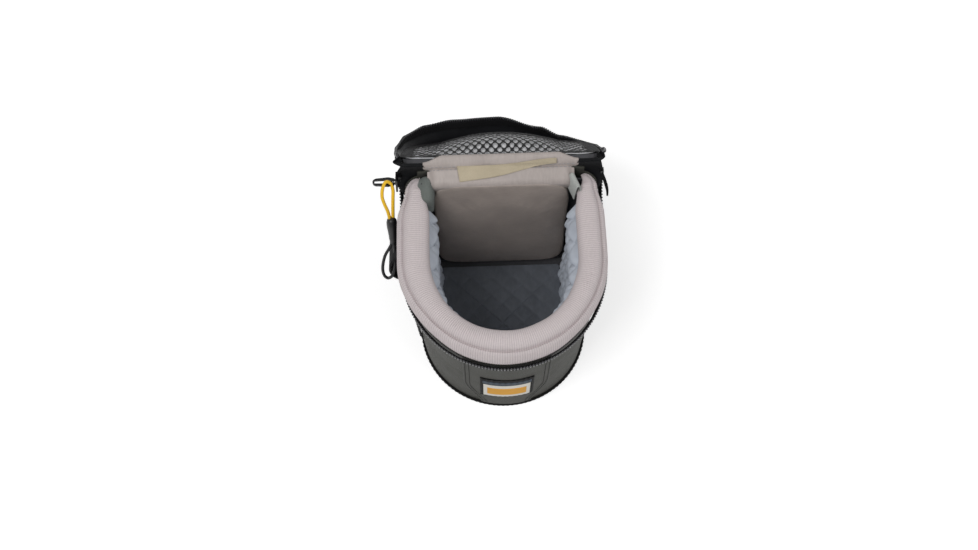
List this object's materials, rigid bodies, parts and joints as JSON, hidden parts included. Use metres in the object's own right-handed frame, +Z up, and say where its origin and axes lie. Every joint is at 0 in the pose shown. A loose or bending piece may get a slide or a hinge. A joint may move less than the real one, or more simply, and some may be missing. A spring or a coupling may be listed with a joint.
{
  "type": "padded lens pouch",
  "caption": "Padded U-shaped lens pouch with a zip-round hinged lid thrown open, knit collar, quilted lining, net pocket in the lid and a cord zip pull.",
  "frame": {"origin": "middle of the underside, on the floor", "axes": "+Z up, -Y towards the round front, +Y towards the flat back with the lid hinge, +X to the right seen from the front"},
  "size_m": [0.1516, 0.2284, 0.1417],
  "materials": {
    "body_nylon": "tightly woven nylon, slight sheen",
    "black_nylon": "black coated nylon, soft gloss",
    "black_webbing": "woven black webbing",
    "binding_web": "black binding tape",
    "ribbed_knit": "ribbed pinkish grey knit",
    "quilted_satin": "quilted light blue grey satin",
    "grey_satin": "warm grey satin",
    "lid_satin": "light grey satin",
    "pale_grosgrain": "light grey waffle grosgrain",
    "foam": "padding foam, hidden",
    "board": "stiffener board, hidden",
    "label_twill": "beige twill, blank",
    "zip_tape": "black woven zip tape",
    "zip_chain": "black moulded teeth",
    "black_metal": "black gloss enamel",
    "yellow_cord": "bright yellow braided cord",
    "black_rubber": "smooth black soft rubber",
    "patch_weave": "white and black woven patch",
    "yellow_weave": "warm yellow weave, blank",
    "net": "open black net"
  },
  "bodies": {
    "root": {"outer_shell": "body_nylon", "base_panel": "body_nylon", "base_board": "board", "base_foam": "foam", "floor_pad": "quilted_satin", "base_binding": "binding_web", "wall_foam": "foam", "quilted_lining": "quilted_satin", "collar_cover": "ribbed_knit", "collar_foam": "foam", "collar_piping": "ribbed_knit", "back_panel": "body_nylon", "back_foam": "foam", "back_pad": "grey_satin", "hinge_band": "pale_grosgrain", "hinge_fabric": "black_nylon", "care_label": "label_twill", "corner_tab_left": "pale_grosgrain", "corner_tab_right": "pale_grosgrain", "front_panel": "body_nylon", "front_patch": "patch_weave", "patch_field": "yellow_weave", "belt_loop": "black_webbing", "side_patch": "black_webbing", "side_strap": "black_webbing", "zip_tape_body": "zip_tape", "zip_chain_body": "zip_chain", "zip_stop_left": "black_metal", "zip_stop_right": "black_metal", "zip_tail_right": "zip_tape"},
    "lid": {"lid_shell": "black_nylon", "lid_foam": "foam", "lid_lining": "lid_satin", "lid_skirt": "black_nylon", "zip_tape_lid": "zip_tape", "zip_chain_lid": "zip_chain", "lid_binding": "binding_web", "net_pocket": "net", "net_hem": "net"},
    "slider": {"zip_slider": "black_metal"},
    "tab": {"pull_tab": "black_metal"},
    "pull": {"pull_cord": "yellow_cord", "pull_grip": "black_rubber"}
  },
  "joints": [
    {"name": "lid_hinge", "type": "hinge", "parent": "root", "child": "lid", "pos_m": [0, 0.059, 0.137], "axis": [1, 0, 0], "range_deg": [0, 232.4]},
    {"name": "zip_slide", "type": "hinge", "parent": "root", "child": "slider", "pos_m": [0, 0.03718, 0.13], "axis": [-1, 0, 0], "range_deg": [0, 74]},
    {"name": "tab_swing", "type": "hinge", "parent": "slider", "child": "tab", "pos_m": [-0.06869, 0.05448, 0.12504], "axis": [0, 0.9613, -0.2756], "range_deg": [0, 60]},
    {"name": "pull_swing", "type": "hinge", "parent": "tab", "child": "pull", "pos_m": [-0.0736, 0.05183, 0.1258], "axis": [0, 0.8211, -0.5708], "range_deg": [0, 30]}
  ]
}
